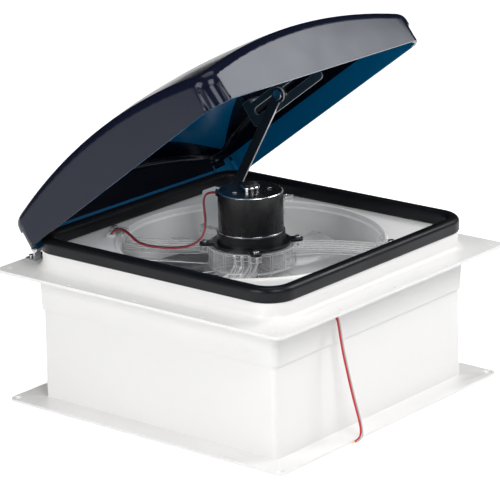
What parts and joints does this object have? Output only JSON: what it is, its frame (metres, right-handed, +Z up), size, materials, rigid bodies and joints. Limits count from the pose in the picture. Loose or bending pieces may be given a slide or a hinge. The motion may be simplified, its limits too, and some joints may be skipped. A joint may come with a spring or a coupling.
{
  "type": "caravan roof vent",
  "caption": "Powered caravan roof vent: a domed lid lifted by an electric arm over a motor-driven fan, on a drilled roof flange with a ceiling trim box.",
  "frame": {"origin": "centre of the roof opening, on the roof surface under the flange", "axes": "+Z up out of the roof, +Y toward the lid's hinge, X along the hinge; the lid is drawn open"},
  "size_m": [0.4166, 0.4235, 0.4383],
  "materials": {
    "white_plastic": "smooth gloss white ABS",
    "gasket_rubber": "satin black foam rubber",
    "screen_plastic": "grey mesh and ring",
    "clear_plastic": "clear polycarbonate",
    "motor_black": "satin black paint",
    "bright_metal": "bright plated steel",
    "screw_steel": "zinc plated steel",
    "steel": "plain steel",
    "motor_iron": "laminated iron and ferrite",
    "bronze": "sintered bronze and copper",
    "lid_plastic": "smoked gloss acrylic",
    "rail_black": "black coated steel",
    "gearbox_plastic": "moulded white nylon",
    "lift_motor_steel": "plain can",
    "control_plastic": "fine textured white ABS",
    "board_green": "solder mask",
    "switch_black": "moulded white grommet and switch bodies",
    "button_grey": "soft grey keys",
    "lead_red": "red PVC",
    "lead_black": "black PVC",
    "lead_white": "white PVC"
  },
  "bodies": {
    "base": {"roof_base": "white_plastic", "rim_gasket": "gasket_rubber", "ceiling_trim": "white_plastic", "screen_frame": "screen_plastic", "insect_screen": "screen_plastic", "screen_screws": "screw_steel", "motor_spider": "clear_plastic", "spider_screws": "screw_steel", "motor_plate": "motor_black", "motor_plate_screws": "screw_steel", "motor_cup": "motor_black", "motor_seam_ring": "bright_metal", "motor_can": "motor_black", "motor_boss": "bright_metal", "motor_boss_cap": "motor_black", "motor_top_screws": "bright_metal", "motor_outlet": "switch_black", "motor_bushes": "bronze", "motor_magnets": "motor_iron", "motor_brushes": "motor_iron", "hinge_base_leaves": "steel", "hinge_pins": "screw_steel", "hinge_base_screws": "screw_steel", "lift_gearbox": "gearbox_plastic", "lift_gearbox_cover": "gearbox_plastic", "lift_cover_screws": "screw_steel", "lift_motor": "lift_motor_steel", "control_housing": "control_plastic", "control_panel": "control_plastic", "control_board": "board_green", "control_switches": "switch_black", "deck_grommet": "switch_black", "skirt_grommet": "switch_black", "motor_lead_red": "lead_red", "motor_lead_black": "lead_black", "power_lead_red": "lead_red", "power_lead_white": "lead_white"},
    "fan_rotor": {"fan_shaft": "steel", "fan": "clear_plastic", "fan_nut": "screw_steel", "motor_armature": "motor_iron", "motor_commutator": "bronze"},
    "lid": {"lid_dome": "lid_plastic", "slide_rail": "rail_black", "rail_screws": "screw_steel", "hinge_lid_leaves": "steel", "hinge_lid_screws": "screw_steel"},
    "lift_lever": {"lift_arm": "steel", "lift_pin": "bright_metal", "lift_pin_clip": "bright_metal", "lift_shaft": "steel", "lift_shaft_nut": "screw_steel"},
    "power_key": {"button_power": "button_grey"},
    "lid_key": {"button_lid": "button_grey"},
    "faster_key": {"button_faster": "button_grey"},
    "slower_key": {"button_slower": "button_grey"}
  },
  "joints": [
    {"name": "lid_hinge", "type": "hinge", "parent": "base", "child": "lid", "pos_m": [0, 0.1917, 0.018], "axis": [-1, 0, 0], "range_deg": [-36.35, 10]},
    {"name": "lift_pivot", "type": "hinge", "parent": "base", "child": "lift_lever", "pos_m": [0.0455, 0.071, 0.045], "axis": [-1, 0, 0], "range_deg": [-65, 18]},
    {"name": "fan_spin", "type": "hinge", "parent": "base", "child": "fan_rotor", "pos_m": [0, 0, 0], "axis": [0, 0, 1], "continuous": true},
    {"name": "power_press", "type": "slide", "parent": "base", "child": "power_key", "axis": [0, 0, 1], "range_m": [0, 0.0015], "stiffness_N_per_m": 300},
    {"name": "lid_press", "type": "slide", "parent": "base", "child": "lid_key", "axis": [0, 0, 1], "range_m": [0, 0.0015], "stiffness_N_per_m": 300},
    {"name": "faster_press", "type": "slide", "parent": "base", "child": "faster_key", "axis": [0, 0, 1], "range_m": [0, 0.0015], "stiffness_N_per_m": 300},
    {"name": "slower_press", "type": "slide", "parent": "base", "child": "slower_key", "axis": [0, 0, 1], "range_m": [0, 0.0015], "stiffness_N_per_m": 300}
  ],
  "couplings": [
    {"joint": "lift_pivot", "follows": "lid_hinge", "ratio": 1.7762}
  ]
}
